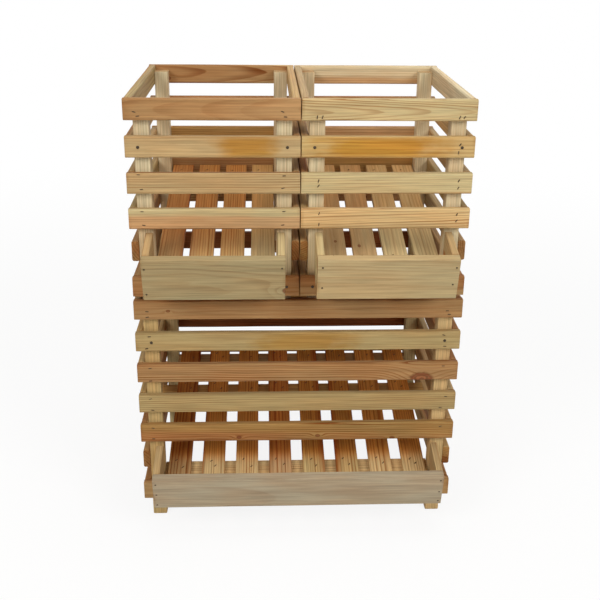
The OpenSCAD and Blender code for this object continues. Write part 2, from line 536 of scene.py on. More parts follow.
def circle(radius, y):
    turns = (2 * math.pi * k / SCREW_SIDES for k in range(SCREW_SIDES))
    return [(radius * math.cos(a), y, radius * math.sin(a)) for a in turns]


def cross(taper, y):
    """Outline of a crossed recess."""
    reach, slit = (size / 2 * taper for size in CROSS[:2])
    corner = [(reach, -slit), (reach, slit), (slit, slit)]
    points = []
    for turn in range(4):
        for x, z in corner:
            for _ in range(turn):
                x, z = -z, x
            points.append((x, y, z))
    return points


def screw_meshes(node, crate_middle):
    """Screws with crossed recesses, each in its CAD solid's place."""
    top = HEAD[0][0]
    pairs = []
    for low, high in solids(node, LEVEL):
        centre = (low + high) / 2
        face = -1 if centre[Y] < crate_middle else 1
        length = (high[Y] - low[Y]) / MM - top
        seat = (low[Y] if face < 0 else high[Y]) - face * top * MM
        place = Matrix.Translation((centre[X], seat, centre[Z])) @ Matrix.Scale(MM, 4)
        pick = random.Random(round(centre[X] * SEED_X) + round(centre[Z] * SEED_Z))
        place @= Matrix.Rotation(math.radians(pick.uniform(0, 90)), 4, "Y")
        bm = bmesh.new()
        rings = [circle(radius, face * out) for out, radius in HEAD]
        rings += [circle(SHANK, 0), circle(SHANK, -face * (length - POINT)),
                  circle(TIP, -face * length)]
        loft(bm, rings)
        screw = finish_mesh(bm, "screw", place)
        bm = bmesh.new()
        loft(bm, [cross(1, face * (top + CROSS_TOP)),
                  cross(CROSS_TAPER, face * (top - CROSS[2]))])
        pairs.append((screw, finish_mesh(bm, "cross", place)))
    return cut_all(pairs)


# Looks of the boards

# Tones of the wood, as sRGB values from 0 to 255
TONES = {
    "ivory": (212, 195, 160),
    "flax": (212, 182, 132),
    "cream": (195, 176, 132),
    "butter": (198, 170, 118),
    "blush": (198, 158, 114),
    "pale": (184, 157, 114),
    "straw": (188, 155, 104),
    "olive": (171, 148, 103),
    "sand": (181, 160, 120),
    "drab": (162, 144, 107),
    "grey": (169, 155, 132),
    "dun": (165, 127, 85),
    "ochre": (166, 131, 80),
    "tan": (178, 143, 98),
    "honey": (182, 140, 84),
    "pink": (180, 138, 94),
    "rose": (166, 120, 76),
    "orange": (172, 112, 60),
    "red": (140, 86, 50),
    "brown": (142, 102, 64),
}


def linear(tone):
    """A tone as linear colour."""
    out = []
    for c in tone:
        c /= 255
        out.append(c / 12.92 if c <= 0.04045 else ((c + 0.055) / 1.055) ** 2.4)
    return out


class Look:
    """How one board's wood looks, with lengths in millimetres: the tones of its
    sapwood and heartwood, the pith's place across (v) and through (w) the board
    from its middle, the width of a ring, the radius of the heartwood, the depth of
    the ring lines, the taper of the rings in mm a metre, and how far the pith
    wanders. A knot has its place along and across the board and its size. A toast
    has its middle along the board, half its length and its strength."""

    def __init__(self, sap, heart, pith, ring, edge, lines, taper=8, wave=2.5,
                 knots=(), toast=(0, 1, 0)):
        self.sap = TONES[sap]
        self.heart = TONES[heart]
        self.pith = pith
        self.ring = ring
        self.edge = edge
        self.lines = lines
        self.taper = taper
        self.wave = wave
        self.knots = knots
        self.toast = toast


SAPS = {
    "pale_softwood": ("cream", "pale", "pale"),
    "tan_softwood": ("pale", "tan", "olive", "straw"),
    "gold_softwood": ("tan", "pink", "honey"),
    "red_softwood": ("tan", "pink", "brown"),
}
HEARTS = {
    "pale_softwood": ("tan", "straw"),
    "tan_softwood": ("tan", "pink", "rose"),
    "gold_softwood": ("rose", "brown", "tan"),
    "red_softwood": ("red", "rose", "orange"),
}
# The back walls are given redder tones than the rest: painted shade and the warm light bounced
# about inside the crates
SHADED_BACK_SAPS = ("blush", "honey", "tan")
SHADED_BACK_HEARTS = ("rose", "orange", "pink")
# Boards that the photograph shows well, by node and place in it
LOOKS = {
    "left_front_slat_6:0": Look("dun", "pink", (-2, -64), 3.4, 68, 0.4, -40, 2),
    "left_front_slat_5:0": Look("pale", "tan", (90, -30), 4.5, 0, 0.35, 4, 2,
                                toast=(58, 62, 0.85)),
    "left_front_slat_4:0": Look("pale", "olive", (96, -26), 4.3, 0, 1.0, 3, 1.5),
    "left_front_slat_3:0": Look("cream", "blush", (-70, 5), 4.4, 77, 0.35, 4, 3),
    "left_front_slat_1:0": Look("pink", "rose", (20, -40), 4.0, 60, 0.4),
    "left_lip_board:0": Look("drab", "drab", (-20, -120), 3.0, 0, 0.28, 12, 3,
                             knots=((128, -22, 6),)),
    "right_front_slat_6:0": Look("cream", "cream", (-3, -9), 2.5, 22, 0.8, 32, 1.3),
    "right_front_slat_5:0": Look("butter", "tan", (60, -40), 5.0, 0, 0.4, 6, 2,
                                 toast=(-16, 140, 0.9)),
    "right_front_slat_4:0": Look("cream", "tan", (-120, -20), 4.6, 104, 0.35, -14, 2),
    "right_front_slat_3:0": Look("flax", "straw", (-66, -20), 4.4, 0, 0.9, -24, 3),
    "right_front_slat_1:0": Look("tan", "rose", (10, -50), 4.2, 60, 0.4),
    "right_lip_board:0": Look("sand", "sand", (-40, -150), 3.2, 0, 0.25, 10, 3),
    # Its dark tones and the heartwood across its middle are partly the board's own and partly
    # painted shadow of the trays above it
    "wide_front_slat_7:0": Look("dun", "rose", (26, -60), 4.0, 66, 0.45, 8, 2.5,
                                knots=((-238, -1, 2.2),)),
    "wide_front_slat_6:0": Look("olive", "olive", (90, -50), 6.0, 0, 0.25, 5, 3,
                                toast=(10, 116, 0.65)),
    "wide_front_slat_5:0": Look("dun", "pink", (-34, -24), 3.3, 36, 0.9, 12, 3.4,
                                knots=((232, -15, 12),)),
    "wide_front_slat_4:0": Look("olive", "tan", (110, -60), 3.6, 0, 0.6, 7, 2),
    "wide_front_slat_3:0": Look("ochre", "rose", (-21, -26), 2.7, 37, 1.0, 14, 3.5,
                                knots=((-113, -10, 2.6), (38, -8, 2.8), (182, -15, 2.6))),
    "wide_front_slat_1:0": Look("tan", "rose", (20, -60), 4.5, 60, 0.4),
    "wide_lip_board:0": Look("grey", "grey", (-10, -150), 7.0, 0, 0.17, 16, 5),
    # Its pale tones are partly the rail's own and partly painted light, lifting the shade it lies
    # in under the floor slats
    "wide_front_rail:0": Look("flax", "blush", (80, 60), 4.4, 0, 0.6, 6, 2),
    "left_back_slats:5": Look("flax", "dun", (4, 34), 6.0, 40, 1.0, 60, 3,
                              knots=((-112, -8, 4),)),
    "right_back_slats:5": Look("ivory", "blush", (-60, 10), 5.0, 58, 0.45, 5, 3),
    # The wide crate's back slats have deep red tones: painted shade inside the crate, under the
    # narrow crates
    "wide_back_slats:2": Look("rose", "red", (40, 24), 4.2, 60, 0.6, 9, 2),
    "wide_back_slats:3": Look("rose", "red", (-20, 24), 4.2, 60, 0.6, 9, 2, knots=((-110, 6, 4),)),
    "wide_back_slats:6": Look("rose", "red", (-30, 20), 4.0, 60, 0.4, 8, 2),
    # The posts' pale tones are partly the wood's own and partly painted light, lifting the shade
    # that the slats cast on them
    "left_front_left_post:0": Look("ivory", "tan", (70, 50), 3.4, 0, 0.3, 3, 1),
    "left_front_right_post:0": Look("ivory", "tan", (-60, 60), 3.0, 0, 0.4, 3, 1),
    "right_front_left_post:0": Look("ivory", "tan", (80, 40), 3.6, 0, 0.3, 3, 1),
    "right_front_right_post:0": Look("ivory", "tan", (-70, 50), 3.4, 0, 0.3, 3, 1),
    "wide_front_left_post:0": Look("butter", "tan", (60, 60), 3.6, 0, 0.3, 3, 1),
    "wide_front_right_post:0": Look("flax", "straw", (-80, 40), 3.4, 0, 0.35, 3, 1),
    "left_left_cheek:0": Look("pale", "straw", (-24, 40), 4.0, 0, 0.4, 10, 2),
    "left_right_cheek:0": Look("cream", "straw", (24, 40), 4.0, 0, 0.4, 10, 2),
    "right_left_cheek:0": Look("cream", "tan", (-30, 30), 4.0, 0, 0.4, 10, 2),
    "wide_left_cheek:0": Look("pale", "tan", (30, 40), 4.4, 0, 0.4, 10, 2),
    "wide_right_cheek:0": Look("pale", "straw", (-30, 36), 4.0, 0, 0.4, 10, 2),
    "right_right_side_slats:5": Look("ivory", "flax", (60, 40), 3.6, 0, 0.35, 4, 2),
    "right_right_cheek:0": Look("pale", "orange", (-24, 10), 4.0, 38, 0.4, 10, 2),
}
FLOOR_LOOKS = {
    # The wide floor's pale saps are partly the wood's own and partly painted light against the
    # shade inside the crate
    "wide_floor_slats": (
        Look("tan", "rose", (30, 40), 4.0, 46, 0.9, 6, 2),
        Look("flax", "rose", (-60, 22), 4.4, 50, 0.85, 6, 2),
        Look("flax", "honey", (70, 30), 4.4, 0, 0.9, 3, 2),
        Look("blush", "rose", (-40, 40), 4.6, 50, 0.8, 6, 2),
        Look("butter", "rose", (50, 30), 4.0, 50, 0.9, -6, 2),
        Look("butter", "orange", (-60, 35), 5.0, 60, 0.8, 6, 2),
        Look("flax", "orange", (30, 46), 4.4, 44, 0.8, 6, 2),
        Look("flax", "honey", (-40, 28), 4.0, 0, 0.6, 6, 2),
    ),
    "left_floor_slats": (
        Look("tan", "rose", (50, 36), 4.2, 54, 0.7, 6, 2),
        Look("straw", "tan", (-60, 30), 4.4, 60, 0.7, 5, 2),
        Look("straw", "tan", (66, 34), 4.0, 0, 0.7, 5, 2),
        Look("cream", "tan", (-80, 40), 4.6, 0, 0.4, 5, 2),
    ),
    "right_floor_slats": (
        Look("pale", "pink", (40, 60), 5.0, 66, 0.3, 8, 2, knots=((-88, 4, 2.4),)),
        Look("pale", "pink", (-30, 60), 5.0, 58, 0.3, 8, 2, knots=((-104, -9, 2.6),)),
        Look("cream", "tan", (60, 50), 5.0, 0, 0.3, 8, 2),
        Look("cream", "tan", (-60, 50), 5.0, 0, 0.35, 8, 2),
    ),
}
for floor, floor_looks in FLOOR_LOOKS.items():
    for place, look in enumerate(floor_looks):
        LOOKS[f"{floor}:{place}"] = look
# The back posts' pale tones are partly the wood's own and partly painted light, lifting the shade
# they stand in
for crate, sap in (("left", "ivory"), ("right", "ivory"), ("wide", "cream")):
    for side, across in (("left", -64), ("right", 70)):
        post = f"{crate}_back_{side}_post:0"
        LOOKS[post] = Look(sap, "tan", (across, 50), 3.6, 0, 0.3, 3, 1)

# Painted shade on the floor slats behind their front ends: its strength, and where
# along them it begins and is full, in metres from their middle
REAR_SHADE = {
    "wide_floor_slats": (1.0, -0.155, -0.11),
    "left_floor_slats": (0.7, -0.17, 0.0),
    "right_floor_slats": (0.45, -0.08, 0.05),
}
NOT_REAR_SHADE = (0, 0, 1)

# Ranges that the looks of the other boards are drawn from, as in Look. Heartwood
# ends this far beyond the board's middle, and a knot's place is a share of the
# board's half length and width.
PITH_ACROSS = (10, 110)
PITH_THROUGH = (20, 90)
KNOT_CHANCE = 0.25
KNOT_PLACES = (-0.8, 0.8)
KNOT_SIZES = (2, 5)
RING_WIDTHS = (3.2, 5.0)
HEART_EDGES = (-35, 15)
LINE_DEPTHS = (0.3, 0.6)
TAPERS = (-20, 20)
WAVES = (1.5, 3.0)


def look_of(board, slot):
    if board.key in LOOKS:
        return LOOKS[board.key]
    pick = random.Random(board.seed)
    saps, hearts = SAPS[slot], HEARTS[slot]
    # Back slats take the redder tones of painted shade
    if "back_slats" in board.node:
        saps, hearts = SHADED_BACK_SAPS, SHADED_BACK_HEARTS
    across = pick.choice((-1, 1)) * pick.uniform(*PITH_ACROSS)
    through = pick.choice((-1, 1)) * pick.uniform(*PITH_THROUGH)
    distance = math.hypot(across, through)
    knots = []
    if pick.random() < KNOT_CHANCE:
        knots.append((
            pick.uniform(*KNOT_PLACES) * board.half[0] / MM,
            pick.uniform(*KNOT_PLACES) * board.half[1] / MM,
            pick.uniform(*KNOT_SIZES),
        ))
    return Look(
        sap=pick.choice(saps),
        heart=pick.choice(hearts),
        pith=(across, through),
        ring=pick.uniform(*RING_WIDTHS),
        edge=distance + pick.uniform(*HEART_EDGES),
        lines=pick.uniform(*LINE_DEPTHS),
        taper=pick.uniform(*TAPERS),
        wave=pick.uniform(*WAVES),
        knots=knots,
    )


def set_attribute(mesh, name, kind, domain, values):
    attribute = mesh.attributes.new(name, kind, domain)
    field = {"FLOAT": "value", "FLOAT_VECTOR": "vector", "FLOAT_COLOR": "color"}[kind]
    attribute.data.foreach_set(field, np.ascontiguousarray(values, np.float32).ravel())


NO_KNOT = (0, 0, 0)
KNOTS = 3
# Metres of log that the boards are cut from, so that none has another's fibres
LOG_LENGTH = 40
# A face that looks this far along the grain is a sawn end
END_FACING = 0.75


def dress_board(mesh, board, look):
    """Stores on a board's mesh all that the wood material reads."""
    count = len(mesh.vertices)
    points = np.zeros(count * 3, np.float32)
    mesh.vertices.foreach_get("co", points)
    local = (points.reshape(-1, 3) - np.array(board.centre)) @ np.array(board.axes)
    pick = random.Random(board.seed + 1)
    shift = (pick.uniform(0, LOG_LENGTH), -look.pith[0] * MM, -look.pith[1] * MM)

    def same(values):
        return np.tile(np.array(values, np.float32), (count, 1))

    vectors = {
        "grain": local + np.array(shift),
        "place": local,
        "half": same(board.half),
        "rings": same((look.ring * MM, look.taper * MM, look.edge * MM)),
        "figure": same((look.lines, look.wave * MM, pick.random())),
        "toast": same((look.toast[0] * MM, look.toast[1] * MM, look.toast[2])),
        # the painted shade toward the rear of the floor slats
        "rear_shade": same(REAR_SHADE.get(board.node, NOT_REAR_SHADE)),
    }
    knots = list(look.knots) + [NO_KNOT] * (KNOTS - len(look.knots))
    for k, knot in enumerate(knots):
        vectors[f"knot_{k}"] = same([size * MM for size in knot])
    for name, values in vectors.items():
        set_attribute(mesh, name, "FLOAT_VECTOR", "POINT", values)
    for name, tone in (("sap", look.sap), ("heart", look.heart)):
        set_attribute(mesh, name, "FLOAT_COLOR", "POINT", same([*linear(tone), 1]))
    faces = len(mesh.polygons)
    normals = np.zeros(faces * 3, np.float32)
    mesh.polygons.foreach_get("normal", normals)
    along = np.abs(normals.reshape(-1, 3) @ np.array(board.axes.col[0]))
    sawn = (along > END_FACING).astype(np.float32)
    set_attribute(mesh, "end_grain", "FLOAT", "FACE", sawn)


# Materials


class Graph:
    """A short way to write the nodes of a material or world."""

    def __init__(self, owner):
        owner.use_nodes = True
        self.owner = owner
        self.tree = owner.node_tree
        self.tree.nodes.clear()

    def node(self, kind, **settings):
        node = self.tree.nodes.new(kind)
        for name, value in settings.items():
            setattr(node, name, value)
        return node

    def put(self, socket, value):
        if isinstance(value, bpy.types.NodeSocket):
            self.tree.links.new(value, socket)
        else:
            socket.default_value = value

    def math(self, operation, *values):
        node = self.node("ShaderNodeMath", operation=operation)
        for socket, value in zip(node.inputs, values):
            self.put(socket, value)
        return node.outputs[0]

    def add(self, *values):
        total = values[0]
        for value in values[1:]:
            total = self.math("ADD", total, value)
        return total

    def times(self, *values):
        total = values[0]
        for value in values[1:]:
            total = self.math("MULTIPLY", total, value)
        return total

    def about(self, value, size):
        """A value from 0 to 1 as a swing of a size about 0."""
        return self.times(self.math("SUBTRACT", value, 0.5), size)

    def length(self, vector):
        node = self.node("ShaderNodeVectorMath", operation="LENGTH")
        self.put(node.inputs[0], vector)
        return node.outputs["Value"]

    def distance(self, x, y):
        return self.length(self.join(x, y, 0.0))

    def mix(self, share, first, second, blend="MIX"):
        node = self.node("ShaderNodeMix", data_type="RGBA", blend_type=blend)
        self.put(node.inputs["Factor"], share)
        self.put(node.inputs[6], first)
        self.put(node.inputs[7], second)
        return node.outputs[2]

    def stain(self, share, color, tint):
        """A colour multiplied by a tint, where share is 1."""
        return self.mix(share, color, tint, "MULTIPLY")

    def parts(self, vector):
        node = self.node("ShaderNodeSeparateXYZ")
        self.put(node.inputs[0], vector)
        return node.outputs

    def join(self, x, y, z):
        node = self.node("ShaderNodeCombineXYZ")
        for socket, value in zip(node.inputs, (x, y, z)):
            self.put(socket, value)
        return node.outputs[0]

    def noise(self, vector, scale, detail, color=False):
        node = self.node("ShaderNodeTexNoise")
        self.put(node.inputs["Vector"], vector)
        self.put(node.inputs["Scale"], scale)
        self.put(node.inputs["Detail"], detail)
        return node.outputs["Color" if color else "Fac"]

    def step(self, value, low, high, out_low=0.0, out_high=1.0):
        node = self.node("ShaderNodeMapRange", interpolation_type="SMOOTHSTEP")
        for socket, given in zip(node.inputs, (value, low, high, out_low, out_high)):
            self.put(socket, given)
        return node.outputs[0]

    def attribute(self, name, output="Vector"):
        return self.node("ShaderNodeAttribute", attribute_name=name).outputs[output]

    def bump(self, height, strength, distance):
        node = self.node("ShaderNodeBump")
        self.put(node.inputs["Height"], height)
        self.put(node.inputs["Strength"], strength)
        self.put(node.inputs["Distance"], distance)
        return node.outputs[0]

    def finish(self, **inputs):
        shader = self.node("ShaderNodeBsdfPrincipled")
        for name, value in inputs.items():
            self.put(shader.inputs[name.replace("_", " ")], value)
        output = self.node("ShaderNodeOutputMaterial")
        self.tree.links.new(shader.outputs[0], output.inputs["Surface"])
        return self.owner


def rgb(*values):
    return (*linear(values), 1)


# Noise drawn out along the grain: cells a metre along and across it, and detail
DRIFT = (2.6, 9, 2)
RIPPLE = (11, 60, 2)
RING_FADE = (3, 40, 1)
KNOT_EDGE = (160, 160, 1)
STREAK = (1.6, 95, 3)
FIBRE = (14, 900, 2)
STRAND = (11, 330, 2)
HAIR = (30, 2600, 1)
FLECK = (60, 1500, 1)
BLOTCH = (7, 26, 2)


class Log:
    """The parts of the wood graph that all read one place in the log."""

    def __init__(self, g):
        self.g = g
        self.x, self.y, self.z = g.parts(g.attribute("grain"))
        self.u, self.v, self.w = g.parts(g.attribute("place"))

    def fibres(self, along, across, detail, color=False):
        g = self.g
        cells = g.join(g.times(self.x, along), g.times(self.y, across),
                       g.times(self.z, across))
        return g.noise(cells, 1, detail, color=color)


DRIFT_GAIN = 4
RIPPLE_SIZE = 0.0018


def bent_radius(log, taper, wave):
    """Distance from the pith, which wanders along the log."""
    g = log.g
    drift = g.parts(log.fibres(*DRIFT, color=True))
    swing = g.times(wave, DRIFT_GAIN)
    y = g.add(log.y, g.about(drift[0], swing))
    z = g.add(log.z, g.about(drift[1], swing))
    ripple = g.about(log.fibres(*RIPPLE), RIPPLE_SIZE)
    return g.add(g.distance(y, z), g.times(log.u, taper), ripple)


# A knot, with distances as shares of its size: how short distances along the
# grain count for the rings that it bends and for its own outline, how far and how
# strongly it bends them, and the ranges of its outline and of its rim
BEND_STRETCH = 0.42
KNOT_STRETCH = 0.62
BEND_REACH = 1.9
BEND_PUSH = 1.25
KNOT_OUTLINE = (1.1, 0.85)
RIM_INNER = (0.62, 0.95)
RIM_OUTER = (1.35, 1.0)
KNOT_ROUGHNESS = 0.35
KNOT_RINGS = 13
DARK_RINGS = (-0.6, 0.8)
# In metres: the least knot that shows, and what keeps the divisions from zero
LEAST_KNOT = 0.0005
BEND_GUARD, KNOT_GUARD = 0.0001, 0.00001


def add_knots(log, radius):
    """Bends the rings round each knot. Gives the radius, and how far a point lies
    in a knot, on its rim, and in its dark rings."""
    g = log.g
    core, rim, dark = 0.0, 0.0, 0.0
    rough_edge = g.about(log.fibres(*KNOT_EDGE), KNOT_ROUGHNESS)
    for k in range(KNOTS):
        knot_u, knot_v, size = g.parts(g.attribute(f"knot_{k}"))
        du = g.math("SUBTRACT", log.u, knot_u)
        dv = g.math("SUBTRACT", log.v, knot_v)
        ratio = g.math("DIVIDE", g.distance(g.times(du, BEND_STRETCH), dv),
                       g.add(g.times(size, BEND_REACH), BEND_GUARD))
        push = g.math("EXPONENT", g.times(g.math("POWER", ratio, 2), -1))
        radius = g.add(radius, g.times(push, size, BEND_PUSH))
        present = g.math("GREATER_THAN", size, LEAST_KNOT)
        apart = g.distance(g.times(du, KNOT_STRETCH), dv)
        inside = g.add(g.math("DIVIDE", apart, g.add(size, KNOT_GUARD)), rough_edge)
        mine = g.times(g.step(inside, *KNOT_OUTLINE), present)
        core = g.math("MAXIMUM", core, mine)
        band = g.times(g.step(inside, *RIM_INNER), g.step(inside, *RIM_OUTER), present)
        rim = g.math("MAXIMUM", rim, band)
        wave = g.math("SINE", g.times(inside, KNOT_RINGS))
        dark = g.add(dark, g.times(mine, g.step(wave, *DARK_RINGS)))
    return radius, core, rim, dark


# A growth ring: where in it the late line begins and ends, how uneven the rings
# are, how much the lines differ, and how far they fade along the log
LATE_RISE = (0.42, 0.9)
LATE_FALL = (1.0, 0.94)
UNEVEN_CELLS, UNEVEN_RINGS = 70, 1.6
LINE_SPREAD, LEAST_LINE = 0.7, 0.45
FADE = (0.3, 0.65, 0.45, 1.0)


def late_wood(log, radius, spacing, chance):
    """Growth rings: pale early wood that darkens to a sharp late line."""
    g = log.g
    uneven = g.noise(g.join(g.times(radius, UNEVEN_CELLS), chance, 0.0), 1, 1)
    count = g.add(g.math("DIVIDE", radius, spacing), g.times(uneven, UNEVEN_RINGS))
    part = g.math("FRACT", count)
    late = g.times(g.step(part, *LATE_RISE), g.step(part, *LATE_FALL))
    each = g.node("ShaderNodeTexWhiteNoise", noise_dimensions="1D")
    g.put(each.inputs["W"], g.add(g.math("FLOOR", count), chance))
    weight = g.math("MULTIPLY_ADD", each.outputs["Value"], LINE_SPREAD, LEAST_LINE)
    fade = g.step(log.fibres(*RING_FADE), *FADE)
    return g.times(late, weight, fade)


# The toasted patch: its ends and edges as shares of its half length and of the
# board's half width, the depth of the front face that it reaches, and its cloud
TOAST_ENDS = (1.1, 0.35)
TOAST_EDGES = (1.1, 0.5, 0.45, 1.0)
TOAST_DEPTH = (0.003, 0.0005)
CLOUD_U, CLOUD_V, CLOUD_DETAIL = 22, 50, 3
CLOUD_SIZE = 0.9


def toasting(log, half_v, half_w):
    """How far the front face is browned by heat, deepest in the middle."""
    g = log.g
    toast_u, toast_half, strength = g.parts(g.attribute("toast"))
    away = g.math("DIVIDE", g.math("ABSOLUTE", g.math("SUBTRACT", log.u, toast_u)),
                  toast_half)
    cells = g.join(g.times(log.u, CLOUD_U), g.times(log.v, CLOUD_V), 0.0)
    away = g.add(away, g.about(g.noise(cells, 1, CLOUD_DETAIL), CLOUD_SIZE))
    up = g.math("DIVIDE", g.math("ABSOLUTE", log.v), half_v)
    on_face = g.step(g.math("SUBTRACT", half_w, log.w), *TOAST_DEPTH)
    return g.times(g.step(away, *TOAST_ENDS), g.step(up, *TOAST_EDGES), on_face, strength)


LATE_TINT = rgb(184, 132, 84)
COOL_TINT = rgb(253, 255, 252)
WARM_TINT = rgb(255, 245, 234)
TOAST_TINT = rgb(236, 198, 106)
# Tint of the painted shade toward the rear of the floor slats
REAR_SHADE_TINT = rgb(250, 194, 130)
END_TINT = rgb(214, 186, 156)
SOIL_TINT = rgb(200, 170, 138)
KNOT_TONE = rgb(142, 80, 50)
KNOT_DARK = rgb(96, 46, 26)

# The noise that shades the wood: its range, then its shades from low to high
STREAK_SHADE = (0.25, 0.75, 0.92, 1.06)
STRAND_SHADE = (0.25, 0.75, 0.84, 1.12)
FIBRE_SHADE = (0.2, 0.8, 0.95, 1.05)
HAIR_SHADE = (0.2, 0.8, 0.97, 1.03)
FLECK_RANGE = (0.68, 0.75)
FLECK_SHADE = -0.14
WARM_RANGE = (0.3, 0.7)
# How far streaks and blotches move the heartwood's edge, and its soft width
STREAK_STRAY, BLOTCH_STRAY = 0.012, 0.006
HEART_OUTER, HEART_INNER = 0.004, 0.005
# Shares of the tints
LATE_AT_END = 0.8
KNOT_SHARE, RIM_SHARE = 0.75, 0.6
END_SHARE = 0.75
ARRIS_SHARE, SOIL_SHARE = 0.5, 0.45
# Reach of the grime from an end and from an arris, and the blotches that it is in
SOIL_REACH = (0.007, 0.0)
ARRIS_REACH = (0.003, 0.0006)
SOIL_RANGE = (0.42, 0.7)
# Roughness of plain wood, and what late wood, ends, fibres and knots add to it
ROUGHNESS = 0.66
LATE_ROUGH, END_ROUGH, FIBRE_ROUGH, KNOT_ROUGH = -0.1, 0.2, 0.16, -0.12
# Heights in the bump
LATE_HIGH, FIBRE_HIGH, HAIR_HIGH, FLECK_HIGH, KNOT_HIGH = 0.5, 0.45, 0.2, -0.5, 0.4
WOOD_BUMP = (0.35, 0.0003)
WOOD_GLOSS = 0.08


def wood():
    """Softwood in the round: rings about the pith, cut as each board lies in it."""
    g = Graph(bpy.data.materials.new("softwood"))
    log = Log(g)
    half_u, half_v, half_w = g.parts(g.attribute("half"))
    spacing, taper, heart_edge = g.parts(g.attribute("rings"))
    lines, wave, chance = g.parts(g.attribute("figure"))
    end = g.attribute("end_grain", "Fac")

    radius = bent_radius(log, taper, wave)
    radius, knot, knot_rim, knot_dark = add_knots(log, radius)
    late = g.times(late_wood(log, radius, spacing, chance), lines)
    streak = log.fibres(*STREAK)
    fibre = log.fibres(*FIBRE)
    strand = log.fibres(*STRAND)
    hair = log.fibres(*HAIR)
    fleck = g.step(log.fibres(*FLECK), *FLECK_RANGE)
    blotch = log.fibres(*BLOTCH)

    # Heartwood inside its edge, then rings, streaks and fibres
    border = g.add(heart_edge, g.about(streak, STREAK_STRAY), g.about(blotch, BLOTCH_STRAY))
    is_heart = g.step(radius, g.add(border, HEART_OUTER),
                      g.math("SUBTRACT", border, HEART_INNER))
    color = g.mix(is_heart, g.attribute("sap", "Color"), g.attribute("heart", "Color"))
    color = g.stain(g.add(late, g.times(late, end, LATE_AT_END)), color, LATE_TINT)
    tint = g.mix(g.step(blotch, *WARM_RANGE), COOL_TINT, WARM_TINT)
    color = g.stain(1.0, color, tint)
    shade = g.times(g.step(streak, *STREAK_SHADE), g.step(strand, *STRAND_SHADE),
                    g.step(fibre, *FIBRE_SHADE), g.step(hair, *HAIR_SHADE),
                    g.math("MULTIPLY_ADD", fleck, FLECK_SHADE, 1.0))
    color = g.stain(1.0, color, g.join(shade, shade, shade))

    # Knots, browning by heat, painted shade toward the rear of the floor slats, sawn ends, and
    # grime by the ends and along the edges
    knot_color = g.mix(knot_dark, KNOT_TONE, KNOT_DARK)
    color = g.mix(g.times(knot, KNOT_SHARE), color, knot_color)
    color = g.mix(g.times(knot_rim, RIM_SHARE), color, KNOT_DARK)
    color = g.stain(toasting(log, half_v, half_w), color, TOAST_TINT)
    # Painted shade, deepening toward the rear of the floor slats
    rear_shade, start, full = g.parts(g.attribute("rear_shade"))
    color = g.stain(g.times(rear_shade, g.step(log.u, start, full)), color, REAR_SHADE_TINT)
    color = g.stain(g.times(end, END_SHARE), color, END_TINT)
    to_end = g.math("SUBTRACT", half_u, g.math("ABSOLUTE", log.u))
    from_v = g.math("SUBTRACT", half_v, g.math("ABSOLUTE", log.v))
    from_w = g.math("SUBTRACT", half_w, g.math("ABSOLUTE", log.w))
    arris = g.step(g.math("MAXIMUM", from_v, from_w), *ARRIS_REACH)
    soiled = g.math("MAXIMUM", g.step(to_end, *SOIL_REACH), g.times(arris, ARRIS_SHARE))
    soiled = g.times(soiled, g.step(blotch, *SOIL_RANGE))
    color = g.stain(g.times(soiled, SOIL_SHARE), color, SOIL_TINT)

    rough = g.add(g.math("MULTIPLY_ADD", late, LATE_ROUGH, ROUGHNESS),
                  g.times(end, END_ROUGH), g.about(fibre, FIBRE_ROUGH),
                  g.times(knot, KNOT_ROUGH))
    relief = g.add(g.times(late, LATE_HIGH), g.times(fibre, FIBRE_HIGH),
                   g.times(hair, HAIR_HIGH), g.times(fleck, FLECK_HIGH),
                   g.times(knot, KNOT_HIGH))
    return g.finish(
        Base_Color=color,
        Roughness=rough,
        Normal=g.bump(relief, *WOOD_BUMP),
        Specular_IOR_Level=WOOD_GLOSS,
    )


STEEL_TONES = (rgb(58, 47, 35), rgb(94, 79, 60))
RUST_TONE = rgb(92, 60, 38)
# Cells a metre and detail of the wear and of the rust, and the rust's range
WEAR = (900, 3)
RUST = (420, 2)
RUST_RANGE = (0.52, 0.7)
RUST_SHARE = 0.6
# What rust adds to the steel's metal look, and wear to its roughness
RUST_METAL, METAL = -0.4, 0.6
WEAR_ROUGH, STEEL_ROUGH = 0.3, 0.38
STEEL_BUMP = (0.3, 0.0001)


def steel():
    g = Graph(bpy.data.materials.new("dark_steel"))
    place = g.node("ShaderNodeTexCoord").outputs["Object"]
    worn = g.noise(place, *WEAR)
    spots = g.step(g.noise(place, *RUST), *RUST_RANGE)
    color = g.mix(worn, *STEEL_TONES)
    color = g.mix(g.times(spots, RUST_SHARE), color, RUST_TONE)
    return g.finish(
        Base_Color=color,
        Metallic=g.math("MULTIPLY_ADD", spots, RUST_METAL, METAL),
        Roughness=g.math("MULTIPLY_ADD", worn, WEAR_ROUGH, STEEL_ROUGH),
        Normal=g.bump(worn, *STEEL_BUMP),
    )


# The pieces


